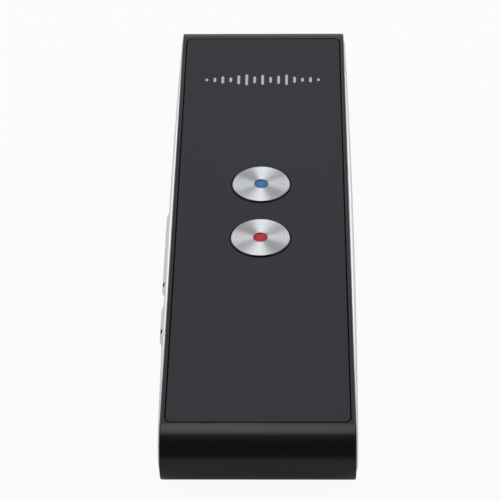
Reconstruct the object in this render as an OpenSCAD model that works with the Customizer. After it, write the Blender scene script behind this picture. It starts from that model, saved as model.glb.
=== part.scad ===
// Handheld voice translator: a flat bar with two talk buttons on its face and keys on its left side.
// It lies on its back: +Z points out of the face, +Y towards the charging socket, +X to the right.
// The origin is the middle of the back face, the face that it rests on.

/* [Case] */
// Length over the two round ends
case_l = 145; // [135:1:170]
// Width of the metal case, without the side covers' crown
case_w = 38; // [36:0.5:48]
// Thickness from back to face
case_t = 12.8; // [12.4:0.1:16]
// Metal left under each panel
ledge_t = 0.8; // [0.6:0.05:1.1]
// Edge radius round the open sides of the case
case_edge_r = 0.3; // [0.1:0.05:0.4]

/* [Panels] */
// Thickness of the front and back panels
panel_t = 0.8; // [0.5:0.05:1]
// Thickness of the adhesive tape under each panel
tape_t = 0.15; // [0.1:0.05:0.3]
// Metal rim between a panel's groove and the side of the case
panel_rim = 0.85; // [0.6:0.05:2]
// Groove round each panel
panel_gap = 0.3; // [0.15:0.05:0.5]
// Corner radius of the pocket that holds a panel
pocket_corner_r = 1.4; // [0.8:0.1:4]
// Distance from a panel's edge to the tape's edge
tape_inset = 0.5; // [0.2:0.1:2]

/* [Talk buttons] */
// Diameter of each button cap
button_d = 12.5; // [10:0.1:14]
// Distance between the two buttons' centres
button_pitch = 18.6; // [16.8:0.1:26]
// Height of the caps above the face
button_proud = 0.25; // [0.1:0.05:1.5]
// Gap round each cap
button_gap = 0.3; // [0.2:0.05:0.5]
// Travel of each button
button_travel = 0.4; // [0.2:0.05:0.45]
// Bevel round the top of each cap
button_bevel = 0.15; // [0.1:0.05:0.5]
// Wall of the cap's skirt
button_skirt_t = 1.2; // [0.8:0.1:2]
// Thickness of the cap's top
button_top_t = 1.1; // [0.9:0.1:1.4]
// Diameter of the coloured dot in each cap
dot_d = 3.1; // [2:0.1:5]
// Depth of the coloured dot
dot_t = 0.5; // [0.3:0.05:0.7]
// How far the dot lies below the top of its cap
dot_sink = 0.05; // [0:0.01:0.2]
// How far the carrier's lip reaches under the case
carrier_lip = 0.75; // [0.5:0.05:1.2]
// Thickness of the carrier's lip
carrier_t = 0.6; // [0.4:0.05:0.7]
// Diameter of the carrier's foot
carrier_foot_d = 2.4; // [2:0.1:4]
// Chamfer round the buttons' holes in the panel
hole_chamfer = 0.15; // [0.05:0.05:0.3]

/* [Side covers] */
// Metal left between a panel's pocket and the recess of a side cover
cover_web = 0.3; // [0.15:0.05:0.65]
// Gap between a cover and its rim
cover_gap = 0.1; // [0.05:0.01:0.2]
// How deep a cover is set into the case
cover_depth = 1.2; // [0.8:0.1:1.6]
// How far a cover's crown stands proud at mid-length
cover_crown = 0.9; // [0.7:0.05:1.3]
// How much lower the crown is at the two ends
cover_fall = 0.6; // [0.2:0.05:0.65]
// Edge radius round a cover
cover_edge_r = 1.1; // [0.5:0.1:1.4]
// Length of each clip on a cover
clip_l = 6; // [3:0.5:10]
// Thickness of each clip
clip_t = 0.8; // [0.5:0.1:1]
// How far each clip reaches in behind the case's ledge
clip_reach = 1.8; // [1:0.1:2]
// Play between a clip and the case
clip_play = 0.1; // [0.05:0.01:0.2]
// Distance from mid-length to the inner clips
inner_clip_y = 22; // [15:1:30]
// Distance from mid-length to the outer clips
outer_clip_y = 55; // [45:1:58]

/* [Side keys] */
// Height of each side key, across the case's thickness
key_h = 3.6; // [3:0.1:4.4]
// Radius of the keys' domed faces
key_dome_r = 2.6; // [2.4:0.1:6]
// Height of the keys above the side cover
key_proud = 0.7; // [0.4:0.05:1.2]
// Gap round each key
key_gap = 0.25; // [0.2:0.05:0.4]
// Length of the volume key
volume_key_l = 27.2; // [20:0.1:30]
// Middle of the volume key along the case
volume_key_y = -7; // [-9:0.1:4]
// Length of the power key
power_key_l = 11.8; // [8:0.1:12.2]
// Middle of the power key along the case
power_key_y = -30.4; // [-40:0.1:-30]
// Travel of the power key
power_key_travel = 0.25; // [0.1:0.05:0.3]
// Tilt of the volume key each way, in degrees
volume_key_tilt = 1.2; // [0.4:0.1:1.4]
// How far the keys' lips reach behind the side cover
key_lip = 0.6; // [0.4:0.1:1]
// Thickness of the keys' lips
key_lip_t = 0.6; // [0.4:0.05:0.8]
// Room between a key's lip and the side cover
key_lip_room = 0.45; // [0.4:0.05:0.6]
// Diameter of the dimple in each key
dimple_d = 1.2; // [0.8:0.1:2.4]
// Depth of each dimple
dimple_depth = 0.35; // [0.1:0.05:0.5]
// Angle of each dimple up the key's domed face, in degrees
dimple_turn = 28; // [0:1:35]
// Distance from the near end of the volume key to its dimple
volume_dimple_inset = 2.1; // [2:0.05:8]
// Distance from the near end of the power key to its dimple
power_dimple_inset = 2.8; // [2:0.05:8]
// Diameter of the small bosses that press the side switches
nub_d = 1.8; // [1.2:0.1:2.6]

/* [Switches] */
// Side length of each switch body
switch_w = 4.5; // [3.5:0.1:6]
// Height of each switch body
switch_h = 1; // [0.8:0.05:1.1]
// Diameter of each switch's stem
stem_d = 1.8; // [1.2:0.1:2.4]
// Height of a front stem above its switch body
front_stem_proud = 0.4; // [0.4:0.05:0.6]
// Height of a side stem above its switch body
side_stem_proud = 0.3; // [0.3:0.05:0.5]
// Running clearance of a stem in its switch body
stem_play = 0.08; // [0.04:0.01:0.1]
// Depth of the stems inside the switch bodies
stem_sunk = 0.35; // [0.2:0.05:0.4]
// Distance from the volume key's middle to each of its switches
volume_switch_reach = 9.5; // [6:0.1:11]
// Clearance left between a pressed volume key and its stems
press_room = 0.05; // [0.02:0.01:0.15]

/* [Inner frame] */
// Wall thickness of the inner frame
frame_wall = 1.2; // [0.8:0.1:1.6]
// Floor thickness of the inner frame
frame_floor = 0.6; // [0.4:0.1:1]
// Gap between the inner frame and the start of the round ends
frame_end_gap = 0.6; // [0.3:0.1:2]
// Length of the speaker chamber
chamber_l = 23.6; // [22:0.1:30]
// Outer diameter of each screw boss
boss_d = 3.6; // [3:0.1:4.4]
// Distance from the far end of the inner frame to its far screws
far_boss_inset = 15.5; // [12:0.5:22]
// Height of the low rib beyond the battery
rib_h = 2.2; // [1:0.1:2.4]

/* [Screws] */
// Diameter of a screw's shank
screw_d = 1.4; // [1:0.1:1.8]
// Diameter of a screw's head
screw_head_d = 2.8; // [2.2:0.1:3.2]
// Height of a board screw's head
screw_head_h = 0.7; // [0.5:0.1:1]
// Depth of a case screw's flat head
flat_head_h = 0.45; // [0.3:0.05:0.5]
// Length of each screw's shank
screw_l = 2.8; // [2:0.1:3]
// Width of the slots in the screws' heads
screw_slot_w = 0.4; // [0.3:0.05:0.6]

/* [Main board] */
// Thickness of the main board
board_t = 0.8; // [0.6:0.05:1]
// Gap between the main board and the sides of the inner frame
board_side_gap = 0.3; // [0.1:0.05:1]
// Gap between the main board and the chamber's lid
board_lid_gap = 0.4; // [0.2:0.1:0.8]
// Length of the shield can
shield_l = 18; // [12:0.5:20]
// Width of the shield can
shield_w = 18; // [12:0.5:20]
// Height of the shield can
shield_h = 1.5; // [1.2:0.05:1.8]
// Sheet thickness of the shield can
shield_t = 0.2; // [0.1:0.05:0.3]
// Distance from the far button to the shield can
shield_room = 14; // [10:0.5:16]
// Side length of the processor
processor_w = 9; // [6:0.5:9.5]
// Height of the chips under the shield can
chip_h = 0.9; // [0.5:0.05:1]
// Thickness of the side switches' board
side_board_t = 0.6; // [0.4:0.05:0.8]
// Height of the side switches' board
side_board_h = 5; // [4.6:0.1:6]
// Thickness of the flexible strip and of the antenna
flex_t = 0.12; // [0.05:0.01:0.2]
// Width of the flexible strip
flex_w = 5; // [3:0.5:8]
// Length of the antenna
antenna_l = 36; // [20:1:60]
// Distance from the top of the inner frame to the antenna
antenna_inset = 0.5; // [0.2:0.1:2]

/* [Battery] */
// Length of the battery
battery_l = 50; // [40:0.5:54]
// Gap round the battery
battery_gap = 0.3; // [0.2:0.05:0.6]
// Gap between the battery and the main board
battery_board_gap = 0.55; // [0.3:0.05:1]
// Thickness of the battery's adhesive pad
pad_t = 0.2; // [0.1:0.05:0.4]
// Thickness of the battery's protection board
protection_t = 0.8; // [0.6:0.1:1.2]
// Diameter of each lead
lead_d = 0.8; // [0.6:0.05:1]

/* [Speaker] */
// Width of the speaker
speaker_w = 22; // [18:0.5:24]
// Length of the speaker
speaker_l = 16; // [12:0.5:18]
// Height of the speaker
speaker_h = 3.6; // [3:0.1:4]
// Thickness of the foam gasket
gasket_t = 0.6; // [0.3:0.05:1]
// Width of the foam gasket's ring
gasket_w = 1.5; // [1:0.1:2.5]
// Thickness of the dust mesh
mesh_t = 0.15; // [0.1:0.01:0.2]
// Number of slots in the grille
grille_slots = 5; // [3:1:6]
// Length of each slot
grille_slot_l = 14; // [8:0.5:16]
// Width of each slot
grille_slot_w = 1.2; // [0.8:0.1:1.4]
// Distance between slots
grille_pitch = 2.3; // [2:0.05:2.4]

/* [Microphone] */
// Diameter of the microphone capsule
mic_d = 4; // [3:0.1:4.5]
// Length of the microphone capsule
mic_l = 1.5; // [1:0.1:2]
// Rubber wall round the microphone
boot_wall = 0.5; // [0.4:0.05:0.8]
// Diameter of the sound hole
mic_hole_d = 1.2; // [0.8:0.1:1.6]
// Distance from the socket's middle to the sound hole
mic_x = 9.5; // [8:0.1:11]

/* [Charging socket] */
// Width of the socket's shell
usb_w = 7.5; // [7.5:0.1:8.5]
// Height of the socket's shell
usb_h = 2.6; // [2.5:0.05:3]
// Length of the socket's shell
usb_l = 5.6; // [5:0.1:6.5]
// Sheet thickness of the socket's shell
usb_sheet = 0.3; // [0.2:0.05:0.4]
// Slope taken off the socket's two lower corners
usb_corner = 0.8; // [0.4:0.05:1]
// Gap between the socket and the case
usb_gap = 0.35; // [0.2:0.05:0.6]
// How far the socket's mouth lies inside the end of the case
usb_sink = 0.3; // [0.1:0.05:0.8]
// Thickness of the socket's tongue
tongue_t = 0.6; // [0.4:0.05:0.8]

/* [Hidden] */
$fn = 96;
eps = 0.01;
over = 1;

// Levels through the thickness
wall_t = ledge_t + tape_t + panel_t;
z_mid = case_t / 2;
cavity_z0 = wall_t;
cavity_z1 = case_t - wall_t;
cavity_h = cavity_z1 - cavity_z0;
board_z0 = z_mid + usb_h / 2;
board_z1 = board_z0 + board_t;
floor_z1 = cavity_z0 + frame_floor;

// The straight stretch of the case, between the round ends
straight_l = case_l - case_t;

// The pocket for a panel, and the panel in it
pocket_w = case_w - 2 * panel_rim;
pocket_l = straight_l;
pocket_depth = panel_t + tape_t;
panel_w = pocket_w - 2 * panel_gap;
panel_l = pocket_l - 2 * panel_gap;
panel_corner_r = pocket_corner_r - panel_gap;
tape_w = panel_w - 2 * tape_inset;
tape_l = panel_l - 2 * tape_inset;
tape_hole_grow = tape_inset;

// Side covers, drawn for the right side and mirrored for the left
cover_rim = pocket_depth + cover_web;
cover_h = case_t - 2 * (cover_rim + cover_gap);
cover_l = case_l - 2 * (cover_rim + cover_gap);
seat_x = case_w / 2 - cover_depth;
crown_x = case_w / 2 + cover_crown;
crown_steps = 32;
edge_steps = 8;
clip_z = cavity_h / 2 - clip_play - clip_t;
clip_root = 0.2;

// Side keys and what they press, as distances from the middle plane
lip_x1 = seat_x - key_lip_room;
lip_x0 = lip_x1 - key_lip_t;
tilt_push = volume_switch_reach * sin(volume_key_tilt);
press_gap = tilt_push + press_room;
nub_t = 0.1;
side_stem_x = lip_x0 - nub_t - press_gap;
side_switch_x = side_stem_x - side_stem_proud;
side_board_x1 = side_switch_x - switch_h;
side_board_x0 = side_board_x1 - side_board_t;
fulcrum_r = 0.6;
fulcrum_gap = 0.1;
fulcrum_x = side_board_x1 + fulcrum_r + fulcrum_gap;
side_switch_ys = [
    volume_key_y + volume_switch_reach, volume_key_y - volume_switch_reach, power_key_y
];

// The inner frame lies between the side boards and between the round ends
frame_w = 2 * side_board_x0;
frame_l = straight_l - 2 * frame_end_gap;
frame_y1 = frame_l / 2;
frame_y0 = -frame_l / 2;
inner_half_w = frame_w / 2 - frame_wall;
chamber_y0 = frame_y0 + frame_wall;
chamber_y1 = chamber_y0 + chamber_l;
divider_y1 = chamber_y1 + frame_wall;
boss_sunk = 0.3;
boss_x = inner_half_w - boss_d / 2 + boss_sunk;
boss_ys = [divider_y1 + boss_d / 2 - boss_sunk, frame_y1 - far_boss_inset];
pilot_play = 0.04;
shank_room = 0.4;
head_room = 0.2;
pilot_d = screw_d + pilot_play;
clear_hole_d = screw_d + shank_room;
head_recess_d = screw_head_d + head_room;

// The main board and the chamber lid share the top of the divider
board_w = frame_w - 2 * board_side_gap;
divider_mid = (chamber_y1 + divider_y1) / 2;
board_y0 = divider_mid + board_lid_gap / 2;
board_y1 = case_l / 2 - usb_sink - usb_l / 2;
lid_y0 = frame_y0 + board_side_gap;
lid_y1 = divider_mid - board_lid_gap / 2;
boot_d = mic_d + 2 * boot_wall;
notch_x = mic_x - boot_d / 2 - board_side_gap;
notch_y = frame_y1 - frame_wall;
shield_y0 = button_pitch / 2 + shield_room;
shield_y_mid = shield_y0 + shield_l / 2;
shield_corner_r = 1;
memory_w = 5;
memory_l = 4;
chip_gap = 1;
chips_y0 = shield_y_mid - (processor_w + chip_gap + memory_l) / 2;
flex_reach = 3;
side_board_margin = 1;

// Small parts on the main board: a row near the battery charger and a row beyond the shield can
coil = [2, 1.2, 0.9];
coil_pitch = 5;
capacitor = [1.2, 2, 0.7];
capacitor_pitch = 3.5;
charger_chip = [4, 4, 1.1];
radio_chip = [3, 3, 1.1];
parts_in_row = 4;
parts_x0 = -9;
coil_room = 12;
capacitor_room = 3;
coil_y0 = -button_pitch / 2 - coil_room;
capacitor_y0 = shield_y0 + shield_l + capacitor_room;
charger_x = 5;
charger_y0 = coil_y0 - charger_chip.y - chip_gap;
radio_x = 6;
radio_y0 = capacitor_y0 - chip_gap;

// Talk buttons: two round caps on the centre line, the blue one at the far side
blue_y = button_pitch / 2;
red_y = -button_pitch / 2;
button_r = button_d / 2;
button_hole_r = button_r + button_gap;
button_z1 = case_t + button_proud;
stop_gap = 0.05;
carrier_z1 = cavity_z1 - stop_gap;
carrier_z0 = carrier_z1 - carrier_t;
carrier_r = button_hole_r + carrier_lip;
front_switch_z1 = board_z1 + switch_h;
front_stem_z = front_switch_z1 + front_stem_proud;
stem_bore_d = stem_d + 2 * stem_play;

// Battery and its leads
battery_z0 = floor_z1 + pad_t;
battery_z1 = board_z0 - battery_board_gap;
battery_mid_z = (battery_z0 + battery_z1) / 2;
battery_w = 2 * (inner_half_w - battery_gap);
battery_y0 = divider_y1 + boss_d + battery_gap;
battery_y1 = battery_y0 + battery_l;
battery_corner_r = 1.5;
pad_inset = 3;
protection_inset = 3;
protection_margin = 0.5;
protection_w = battery_w - 2 * protection_inset;
protection_h = battery_z1 - battery_z0 - 2 * protection_margin;
rib_room = 5;
rib_y0 = battery_y1 + rib_room;
lead_run = 11;
connector_w = 5;
connector_l = 4;
connector_h = 2.5;
connector_x = -3.5;
connector_y0 = battery_y1 + lead_run;
lead_pitch = 1.8;
lead_z = board_z0 - connector_h / 2;
lead_sag = 0.7;
lead_steps = 12;
lead_sides = 8;

// Speaker, its gasket and the grille
speaker_y = (chamber_y0 + chamber_y1) / 2;
mesh_z1 = cavity_z0 + mesh_t;
speaker_z0 = mesh_z1 + gasket_t;
speaker_z1 = speaker_z0 + speaker_h;
window_margin = 0.5;
window_w = grille_slot_l + 2 * window_margin;
window_l = (grille_slots - 1) * grille_pitch + grille_slot_w + 2 * window_margin;
window_r = 1;
speaker_play = 0.2;
lead_gap = 0.05;
speaker_lead_reach = 2;
speaker_lead_z = board_z0 - lead_d / 2 - lead_gap;

// Charging socket and microphone
usb_y1 = case_l / 2 - usb_sink;
usb_y0 = usb_y1 - usb_l;
tongue_side_room = 1.8;
tongue_w = usb_w - 2 * tongue_side_room;
tongue_sink = 1;
mic_y0 = frame_y1;
end_hole_y0 = frame_y1 + case_t / 4;

dark_grey = "#3B3C3F";
satin_black = "#232325";
silver = "#C9CCD0";
board_green = "#1F4D35";
steel = "#B9BCC0";
soft_black = "#1A1A1C";

// ---- Shapes that several pieces share ----

// A bar's outline with two half-round ends, centred
module stadium(l, h) {
    square([l - h, h], center = true);
    for (s = [-1, 1]) translate([s * (l - h) / 2, 0]) circle(d = h);
}

// A rectangle with round corners, centred
module round_rect(w, l, r) {
    square([w - 2 * r, l], center = true);
    square([w, l - 2 * r], center = true);
    for (sx = [-1, 1], sy = [-1, 1])
        translate([sx * (w / 2 - r), sy * (l / 2 - r)]) circle(r = r);
}

// A plate of that shape between two heights
module plate(w, l, r, z0, z1) {
    translate([0, 0, z0]) linear_extrude(z1 - z0) round_rect(w, l, r);
}

// A block given by two corners
module block(low, high) {
    translate(low) cube(high - low);
}

// A stadium outline in the YZ plane, between two values of X
module side_slab(l, h, x0, x1) {
    translate([x0, 0, z_mid]) rotate([90, 0, 90]) linear_extrude(x1 - x0) stadium(l, h);
}

// The child's half profile (distance from the centre line, X) run along Y and turned round both ends
module side_run(l, h) {
    translate([0, -(l - h) / 2, z_mid]) rotate([-90, -90, 0]) linear_extrude(l - h) {
        children();
        mirror([1, 0]) children();
    }
    for (s = [-1, 1])
        translate([0, s * (l - h) / 2, z_mid]) rotate([0, 90, 0]) rotate_extrude() children();
}

// Half profile with its outer corner rounded
module round_edge_profile(h, x0, x1, r) {
    polygon(concat(
        [[0, x0], [h / 2, x0]],
        [for (i = [0 : edge_steps])
            let (a = 90 * i / edge_steps) [h / 2 - r + r * cos(a), x1 - r + r * sin(a)]],
        [[0, x1]]));
}

// Half profile with both outer corners rounded
module two_edge_profile(h, w, r) {
    translate([0, -w / 2]) square([h / 2 - r, w]);
    translate([0, r - w / 2]) square([h / 2, w - 2 * r]);
    for (s = [-1, 1]) translate([h / 2 - r, s * (w / 2 - r)]) circle(r = r);
}

// A round lead from one place to another at the same X, level at both ends, with a sag between them
module lead(x, from, to, sag) {
    rings = [for (i = [0 : lead_steps]) let (t = i / lead_steps) [
        from.x + t * (to.x - from.x),
        from.y + (3 * t * t - 2 * t * t * t) * (to.y - from.y) - sag * pow(sin(180 * t), 2)]];
    points = [for (ring = rings, k = [0 : lead_sides - 1]) let (a = 360 * k / lead_sides)
        [x + lead_d / 2 * cos(a), ring.x, ring.y + lead_d / 2 * sin(a)]];
    last = lead_steps * lead_sides;
    walls = [for (i = [0 : lead_steps - 1], k = [0 : lead_sides - 1]) let (
        a = i * lead_sides + k,
        b = i * lead_sides + (k + 1) % lead_sides
    ) each [[a, b, b + lead_sides], [a, b + lead_sides, a + lead_sides]]];
    near_end = [for (k = [lead_sides - 1 : -1 : 0]) k];
    far_end = [for (k = [0 : lead_sides - 1]) last + k];
    polyhedron(points = points, faces = concat(walls, [near_end, far_end]));
}

// ---- Casing ----

module panel_pocket() {
    plate(pocket_w, pocket_l, pocket_corner_r, case_t - pocket_depth, case_t + over);
}

module screw_places() {
    for (sx = [-1, 1], y = boss_ys) translate([sx * boss_x, y, 0]) children();
}

module outer_case() {
    color(satin_black) difference() {
        side_run(case_l, case_t) two_edge_profile(case_t, case_w, case_edge_r);
        side_slab(case_l - 2 * wall_t, cavity_h, -case_w, case_w);
        for (s = [0, 1]) mirror([s, 0, 0])
            side_slab(case_l - 2 * cover_rim, case_t - 2 * cover_rim, seat_x, case_w);
        panel_pocket();
        translate([0, 0, case_t]) mirror([0, 0, 1]) panel_pocket();
        for (s = [-1, 1]) translate([0, s * button_pitch / 2, z_mid])
            cylinder(r = button_hole_r, h = case_t);
        translate([0, speaker_y, 0])
            plate(window_w, window_l, window_r, -over, cavity_z0 + over);
        screw_places() {
            translate([0, 0, -over])
                cylinder(d = clear_hole_d, h = cavity_z0 + 2 * over, $fn = 32);
            translate([0, 0, -over])
                cylinder(d = head_recess_d, h = over + pocket_depth + flat_head_h, $fn = 32);
        }
        socket_outline(usb_gap, end_hole_y0, case_l / 2 + over);
        translate([mic_x, end_hole_y0, z_mid]) rotate([-90, 0, 0])
            cylinder(d = mic_hole_d, h = case_t, $fn = 32);
    }
}

module front_panel() {
    color(dark_grey) difference() {
        plate(panel_w, panel_l, panel_corner_r, case_t - panel_t, case_t);
        for (s = [-1, 1]) translate([0, s * button_pitch / 2, 0]) {
            translate([0, 0, z_mid]) cylinder(r = button_hole_r, h = case_t);
            translate([0, 0, case_t - hole_chamfer])
                cylinder(r1 = button_hole_r, r2 = button_hole_r + 2 * hole_chamfer,
                    h = 2 * hole_chamfer);
        }
    }
}

module front_panel_tape() {
    color("dimgray") difference() {
        plate(tape_w, tape_l, panel_corner_r, case_t - pocket_depth, case_t - panel_t);
        for (s = [-1, 1]) translate([0, s * button_pitch / 2, z_mid])
            cylinder(r = button_hole_r + tape_hole_grow, h = case_t);
    }
}

module grille_slots_cut() {
    for (i = [0 : grille_slots - 1])
        translate([0, speaker_y + (i - (grille_slots - 1) / 2) * grille_pitch, -over])
            linear_extrude(panel_t + 2 * over) stadium(grille_slot_l, grille_slot_w);
}

module back_panel() {
    color(dark_grey) difference() {
        plate(panel_w, panel_l, panel_corner_r, 0, panel_t);
        grille_slots_cut();
    }
}

module back_panel_tape() {
    color("dimgray") difference() {
        plate(tape_w, tape_l, panel_corner_r, panel_t, pocket_depth);
        translate([0, speaker_y, 0])
            plate(window_w + 2 * window_margin, window_l + 2 * window_margin, window_r,
                0, cavity_z0);
    }
}

// Height of a cover's crown at a place along it
function crown_at(y) = crown_x - cover_fall * pow(2 * y / cover_l, 2);

module crown_limit() {
    translate([0, 0, -over]) linear_extrude(case_t + 2 * over) polygon(concat(
        [[0, cover_l / 2], [0, -cover_l / 2]],
        [for (i = [0 : crown_steps])
            let (y = (i / crown_steps - 0.5) * cover_l) [crown_at(y), y]]));
}

module cover_clips() {
    for (y = [inner_clip_y, outer_clip_y], sy = [-1, 1], sz = [-1, 1])
        translate([seat_x - clip_reach, sy * y - clip_l / 2,
                z_mid + sz * (clip_z + clip_t / 2) - clip_t / 2])
            cube([clip_reach + clip_root, clip_l, clip_t]);
}

module side_cover() {
    intersection() {
        side_run(cover_l, cover_h) round_edge_profile(cover_h, seat_x, crown_x, cover_edge_r);
        crown_limit();
    }
    cover_clips();
}

module right_side_cover() {
    color(silver) side_cover();
}

module left_side_cover() {
    color(silver) mirror([1, 0, 0]) difference() {
        side_cover();
        translate([0, volume_key_y, 0])
            side_slab(volume_key_l + 2 * key_gap, key_h + 2 * key_gap, seat_x - over, case_w);
        translate([0, power_key_y, 0])
            side_slab(power_key_l + 2 * key_gap, key_h + 2 * key_gap, seat_x - over, case_w);
    }
}

// ---- Talk buttons ----

module button_cap() {
    color(silver) difference() {
        rotate_extrude() polygon([
            [0, button_z1], [button_r - button_bevel, button_z1],
            [button_r, button_z1 - button_bevel], [button_r, carrier_z1],
            [button_r - button_skirt_t, carrier_z1],
            [button_r - button_skirt_t, button_z1 - button_top_t],
            [0, button_z1 - button_top_t]]);
        translate([0, 0, button_z1 - dot_sink - dot_t]) cylinder(d = dot_d, h = 2 * dot_t);
    }
}

module button_dot(paint) {
    color(paint) translate([0, 0, button_z1 - dot_sink - dot_t]) cylinder(d = dot_d, h = dot_t);
}

// The carrier's lip holds the cap in its hole, and its foot presses the switch's stem
module button_carrier() {
    color(soft_black) {
        translate([0, 0, carrier_z0]) cylinder(r = carrier_r, h = carrier_t);
        translate([0, 0, front_stem_z])
            cylinder(d = carrier_foot_d, h = carrier_z0 - front_stem_z + eps);
    }
}

module switch_stem(proud) {
    color("ivory") translate([0, 0, switch_h - stem_sunk])
        cylinder(d = stem_d, h = stem_sunk + proud, $fn = 48);
}

// A switch body standing on z = 0, with a bore deep enough for its stem's travel
module switch_body(travel) {
    color(soft_black) difference() {
        translate([-switch_w / 2, -switch_w / 2, 0]) cube([switch_w, switch_w, switch_h]);
        translate([0, 0, switch_h - stem_sunk - travel - press_room])
            cylinder(d = stem_bore_d, h = switch_h, $fn = 48);
    }
}

module blue_button_cap() { translate([0, blue_y, 0]) button_cap(); }
module blue_button_dot() { translate([0, blue_y, 0]) button_dot("#3F74B4"); }
module blue_button_carrier() { translate([0, blue_y, 0]) button_carrier(); }
module blue_switch_stem() { translate([0, blue_y, board_z1]) switch_stem(front_stem_proud); }
module blue_switch_body() { translate([0, blue_y, board_z1]) switch_body(button_travel); }
module red_button_cap() { translate([0, red_y, 0]) button_cap(); }
module red_button_dot() { translate([0, red_y, 0]) button_dot("#BE323C"); }
module red_button_carrier() { translate([0, red_y, 0]) button_carrier(); }
module red_switch_stem() { translate([0, red_y, board_z1]) switch_stem(front_stem_proud); }
module red_switch_body() { translate([0, red_y, board_z1]) switch_body(button_travel); }

// ---- Side keys, drawn for the right side and mirrored to the left ----

// Half profile of a key: straight sides below a domed face
module key_profile(face_x) {
    dome_fall = key_dome_r - sqrt(pow(key_dome_r, 2) - pow(key_h / 2, 2));
    translate([0, lip_x1]) square([key_h / 2, face_x - dome_fall - lip_x1]);
    intersection() {
        translate([0, face_x - key_dome_r]) circle(r = key_dome_r);
        translate([0, face_x - 2 * dome_fall]) square([key_h / 2, 3 * dome_fall]);
    }
}

// A key with the lip that holds it behind the cover, and its dimple near one end
module side_key(l, y, dimple_inset) {
    face_x = crown_at(y) + key_proud;
    difference() {
        translate([0, y, 0]) {
            side_run(l, key_h) key_profile(face_x);
            side_slab(l + 2 * key_lip, key_h + 2 * key_lip, lip_x0, lip_x1 + eps);
        }
        translate([face_x - key_dome_r, y - l / 2 + dimple_inset, z_mid])
            rotate([0, 90 - dimple_turn, 0]) translate([0, 0, key_dome_r - dimple_depth])
                cylinder(d = dimple_d, h = dimple_depth + over, $fn = 48);
    }
}

module key_nub(y, x) {
    translate([x, y, z_mid]) rotate([0, 90, 0]) cylinder(d = nub_d, h = lip_x0 - x + eps, $fn = 48);
}

// The volume key rocks on a round rib at its middle
module volume_key() {
    color(silver) mirror([1, 0, 0]) {
        side_key(volume_key_l, volume_key_y, volume_dimple_inset);
        for (s = [-1, 1]) key_nub(volume_key_y + s * volume_switch_reach, lip_x0 - nub_t);
        translate([fulcrum_x, volume_key_y, z_mid - key_h / 2]) {
            cylinder(r = fulcrum_r, h = key_h, $fn = 48);
            translate([0, -fulcrum_r, 0]) cube([lip_x0 - fulcrum_x + eps, 2 * fulcrum_r, key_h]);
        }
    }
}

module power_key() {
    color(silver) mirror([1, 0, 0]) {
        side_key(power_key_l, power_key_y, power_dimple_inset);
        key_nub(power_key_y, side_stem_x);
    }
}

// Stands its child on the side board's outer face, at a place along the case
module on_side_board(y) {
    translate([-side_board_x1, y, z_mid]) rotate([0, -90, 0]) children();
}

module side_switch_board() {
    low_y = power_key_y - switch_w / 2 - side_board_margin;
    high_y = volume_key_y + volume_switch_reach + switch_w / 2 + side_board_margin;
    color(board_green) block([-side_board_x1, low_y, z_mid - side_board_h / 2],
        [-side_board_x0, high_y, z_mid + side_board_h / 2]);
}

module side_switch_bodies() {
    for (y = side_switch_ys) on_side_board(y) switch_body(power_key_travel);
}

module volume_switch_stems() {
    for (s = [-1, 1]) on_side_board(volume_key_y + s * volume_switch_reach)
        switch_stem(side_stem_proud);
}

module power_switch_stem() {
    on_side_board(power_key_y) switch_stem(side_stem_proud);
}

// ---- Inner frame and what it carries ----

module inner_frame() {
    color(soft_black) difference() {
        union() {
            frame_tray();
            screw_places() translate([0, 0, cavity_z0])
                cylinder(d = boss_d, h = board_z0 - cavity_z0, $fn = 48);
            block([-inner_half_w - eps, rib_y0, floor_z1 - eps],
                [inner_half_w + eps, rib_y0 + frame_wall, floor_z1 + rib_h]);
            speaker_seat();
        }
        screw_places() translate([0, 0, -over])
            cylinder(d = pilot_d, h = case_t + over, $fn = 32);
    }
}

// The open chamber for the speaker, the divider with its notch for the leads, and the battery tray
module frame_tray() {
    difference() {
        block([-frame_w / 2, frame_y0, cavity_z0], [frame_w / 2, frame_y1, board_z0]);
        block([-inner_half_w, chamber_y0, -over], [inner_half_w, chamber_y1, case_t]);
        block([-inner_half_w, divider_y1, floor_z1],
            [inner_half_w, frame_y1 - frame_wall, case_t]);
        block([-lead_pitch, chamber_y1 - over, speaker_z1 - 2 * lead_d],
            [lead_pitch, divider_y1 + over, case_t]);
    }
}

// A ledge in the chamber that the speaker drops into
module speaker_seat() {
    difference() {
        block([-inner_half_w - eps, chamber_y0 - eps, cavity_z0],
            [inner_half_w + eps, chamber_y1 + eps, speaker_z0 + frame_floor]);
        translate([0, speaker_y, 0])
            plate(speaker_w + 2 * speaker_play, speaker_l + 2 * speaker_play, window_r,
                -over, case_t);
    }
}

module chamber_lid() {
    color(soft_black)
        block([-board_w / 2, lid_y0, board_z0], [board_w / 2, lid_y1, board_z1]);
}

module main_board() {
    color(board_green) difference() {
        block([-board_w / 2, board_y0, board_z0], [board_w / 2, board_y1, board_z1]);
        block([notch_x, notch_y, 0], [case_w, case_l, case_t]);
        screw_places() translate([0, 0, board_z0 - over])
            cylinder(d = clear_hole_d, h = board_t + 2 * over, $fn = 32);
    }
}

module shield_can() {
    color(steel) translate([0, shield_y_mid, 0]) difference() {
        plate(shield_w, shield_l, shield_corner_r, board_z1, board_z1 + shield_h);
        plate(shield_w - 2 * shield_t, shield_l - 2 * shield_t, shield_corner_r - shield_t,
            board_z1 - over, board_z1 + shield_h - shield_t);
    }
}

module processor_chip() {
    color("dimgray") block([-processor_w / 2, chips_y0, board_z1],
        [processor_w / 2, chips_y0 + processor_w, board_z1 + chip_h]);
}

module memory_chip() {
    memory_y0 = chips_y0 + processor_w + chip_gap;
    color("dimgray") block([-memory_w / 2, memory_y0, board_z1],
        [memory_w / 2, memory_y0 + memory_l, board_z1 + chip_h]);
}

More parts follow.
